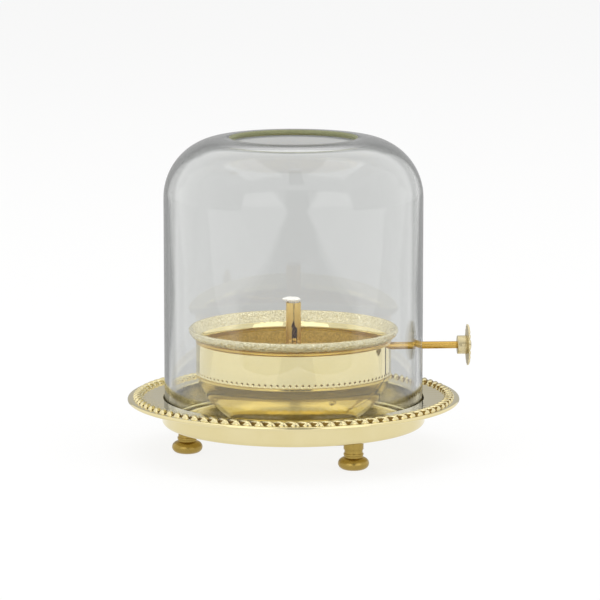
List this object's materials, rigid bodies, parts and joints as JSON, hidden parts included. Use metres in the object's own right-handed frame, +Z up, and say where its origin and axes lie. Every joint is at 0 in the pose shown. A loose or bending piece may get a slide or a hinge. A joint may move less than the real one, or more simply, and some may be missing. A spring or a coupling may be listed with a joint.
{
  "type": "akhand diya oil lamp",
  "caption": "Brass oil lamp on a footed tray: an open bowl with a wick tube, a side knob that winds the wick up, and a clear glass dome that lifts off.",
  "frame": {"origin": "on the standing surface, on the axis of the wick tube, bowl, tray and dome", "axes": "+Z up along the wick tube, +X along the spindle towards the knob, -Y towards the slotted front of the tube"},
  "size_m": [0.157, 0.152, 0.1452],
  "materials": {
    "polished_brass": "polished and lacquered",
    "turned_brass": "turned, satin",
    "drawn_brass": "drawn, as supplied",
    "clear_glass": "clear, moulded",
    "wick_cotton": "twisted cotton",
    "steel": "zinc plated",
    "seal_rubber": "matt"
  },
  "bodies": {
    "base": {"tray": "polished_brass", "foot_left": "turned_brass", "foot_front": "turned_brass", "foot_rear": "turned_brass", "foot_screws": "polished_brass", "bowl": "polished_brass", "clamp_screw": "steel", "clamp_washer": "steel", "seal_washer": "seal_rubber", "wick_socket": "polished_brass", "wick_tube": "drawn_brass", "winder_bracket": "drawn_brass", "spindle_bush": "drawn_brass"},
    "winder": {"spindle": "drawn_brass", "winder_wheel": "drawn_brass", "knob_hub": "polished_brass", "hub_grub_screw": "steel", "knob_rosette": "polished_brass", "knob_screw": "polished_brass"},
    "wick": {"wick": "wick_cotton"},
    "dome": {"glass_dome": "clear_glass"}
  },
  "joints": [
    {"name": "knob_turn", "type": "hinge", "parent": "base", "child": "winder", "pos_m": [0, -0.0067, 0.05], "axis": [1, 0, 0], "range_deg": [-12, 300]},
    {"name": "wick_feed", "type": "slide", "parent": "base", "child": "wick", "axis": [0, 0, 1], "range_m": [-0.0009, 0.0212]},
    {"name": "dome_lift", "type": "slide", "parent": "base", "child": "dome", "axis": [0, 0, 1], "range_m": [0, 0.09]}
  ],
  "couplings": [
    {"joint": "wick_feed", "follows": "knob_turn", "m_per_rad": 0.004}
  ]
}
